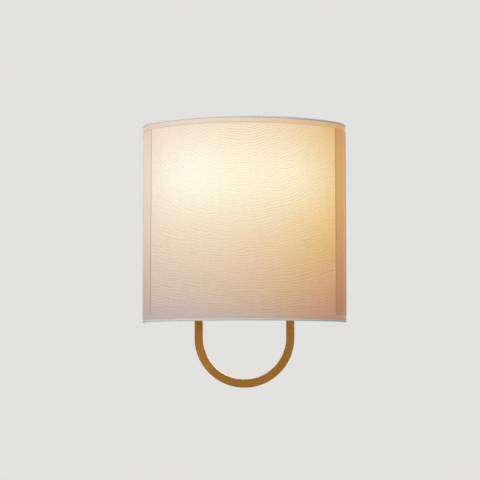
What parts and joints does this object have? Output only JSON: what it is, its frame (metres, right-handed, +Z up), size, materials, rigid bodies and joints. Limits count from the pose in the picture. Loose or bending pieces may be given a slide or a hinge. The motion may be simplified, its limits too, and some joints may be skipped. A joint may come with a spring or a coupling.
{
  "type": "wall light",
  "caption": "Wall light with a half-oval fabric shade open at top and bottom, lit by candle lamps, on a flat brass loop that hangs below the shade.",
  "frame": {"origin": "centre of the crossbar's screw slots, on the wall", "axes": "+X to the right as you face the light, +Y into the wall, +Z up"},
  "size_m": [0.254, 0.1015, 0.328],
  "materials": {
    "shade_fabric": "slub linen weave",
    "trim_tape": "smooth woven tape",
    "shade_liner": "matte sheet",
    "frame_wire": "white coated",
    "satin_brass": "satin lacquered",
    "shell_brass": "bright pressed",
    "zinc_steel": "zinc plated",
    "green_screw": "green dyed",
    "holder_plastic": "moulded",
    "nylon": "moulded",
    "solder": "soldered",
    "black_insulator": "glazed",
    "lamp_nickel": "nickel plated",
    "lamp_glass": "clear",
    "stem_glass": "clear",
    "filament": "coated"
  },
  "bodies": {
    "fixture": {"wall_crossbar": "zinc_steel", "mounting_studs": "zinc_steel", "ground_screw": "green_screw", "backplate": "satin_brass", "cap_nuts": "satin_brass", "wire_bushing": "nylon", "arm_loop": "satin_brass", "arm_screws": "zinc_steel", "lamp_bracket": "zinc_steel", "bracket_screws": "zinc_steel", "shade_posts": "zinc_steel", "holder_nipples": "zinc_steel", "holder_washers": "zinc_steel", "holder_nuts": "zinc_steel", "left_lampholder": "holder_plastic", "left_screw_shell": "shell_brass", "left_centre_contact": "shell_brass", "right_lampholder": "holder_plastic", "right_screw_shell": "shell_brass", "right_centre_contact": "shell_brass"},
    "shade": {"shade_liner": "shade_liner", "front_fabric": "shade_fabric", "top_trim": "trim_tape", "bottom_trim": "trim_tape", "top_ring": "frame_wire", "bottom_ring": "frame_wire", "back_uprights": "frame_wire", "seam_uprights": "frame_wire", "carrier_strap": "frame_wire", "left_side_fabric": "shade_fabric", "left_seam_welt": "trim_tape", "left_back_trim": "trim_tape", "right_side_fabric": "shade_fabric", "right_seam_welt": "trim_tape", "right_back_trim": "trim_tape"},
    "left_lamp": {"left_lamp_tip": "solder", "left_lamp_insulator": "black_insulator", "left_lamp_cap": "lamp_nickel", "left_lamp_glass": "lamp_glass", "left_lamp_stem": "stem_glass", "left_lamp_filaments": "filament"},
    "right_lamp": {"right_lamp_tip": "solder", "right_lamp_insulator": "black_insulator", "right_lamp_cap": "lamp_nickel", "right_lamp_glass": "lamp_glass", "right_lamp_stem": "stem_glass", "right_lamp_filaments": "filament"},
    "left_nut": {"left_thumb_nut": "satin_brass"},
    "right_nut": {"right_thumb_nut": "satin_brass"}
  },
  "joints": [
    {"name": "shade_lift", "type": "slide", "parent": "fixture", "child": "shade", "axis": [0, 0, 1], "range_m": [0, 0.08]},
    {"name": "left_lamp_unscrew", "type": "slide", "parent": "fixture", "child": "left_lamp", "axis": [0, 0, 1], "range_m": [0, 0.03]},
    {"name": "right_lamp_unscrew", "type": "slide", "parent": "fixture", "child": "right_lamp", "axis": [0, 0, 1], "range_m": [0, 0.03]},
    {"name": "left_nut_turn", "type": "hinge", "parent": "fixture", "child": "left_nut", "pos_m": [-0.025, -0.03, 0.066], "axis": [0, 1, 0], "continuous": true},
    {"name": "right_nut_turn", "type": "hinge", "parent": "fixture", "child": "right_nut", "pos_m": [0.025, -0.03, 0.066], "axis": [0, 1, 0], "continuous": true}
  ]
}
